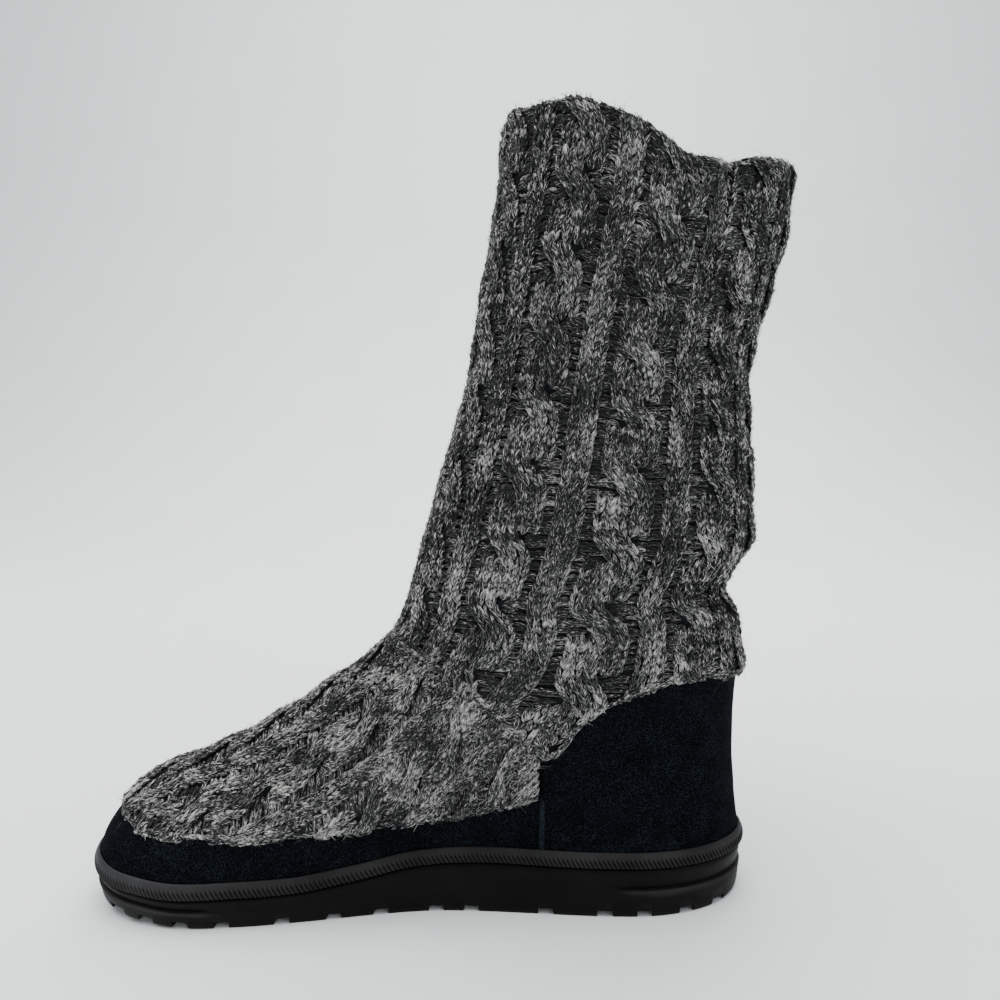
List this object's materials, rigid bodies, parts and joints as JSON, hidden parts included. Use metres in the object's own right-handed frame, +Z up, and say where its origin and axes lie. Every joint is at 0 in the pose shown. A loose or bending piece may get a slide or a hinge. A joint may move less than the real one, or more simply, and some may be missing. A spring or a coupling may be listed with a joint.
{
  "type": "mukluk boot",
  "caption": "Right knitted winter boot with a slack cable-knit leg, suede counter and foxing, ribbed rubber welt and grooved sole.",
  "frame": {"origin": "on the floor under the middle of the heel, on the heel's flat tread lug", "axes": "+Z up, toe towards -X, inner side of the foot towards -Y"},
  "size_m": [0.274, 0.1045, 0.3026],
  "materials": {
    "knit": "marled grey wool knit, brushed",
    "suede": "black suede, matt nap",
    "welt_rubber": "moulded charcoal rubber, ribbed",
    "sole_rubber": "moulded black rubber, satin",
    "felt": "grey felt"
  },
  "bodies": {
    "root": {"outsole": "sole_rubber", "welt": "welt_rubber", "insole": "felt", "upper": "knit", "shaft": "knit", "foxing": "suede", "heel_counter": "suede"}
  },
  "joints": []
}
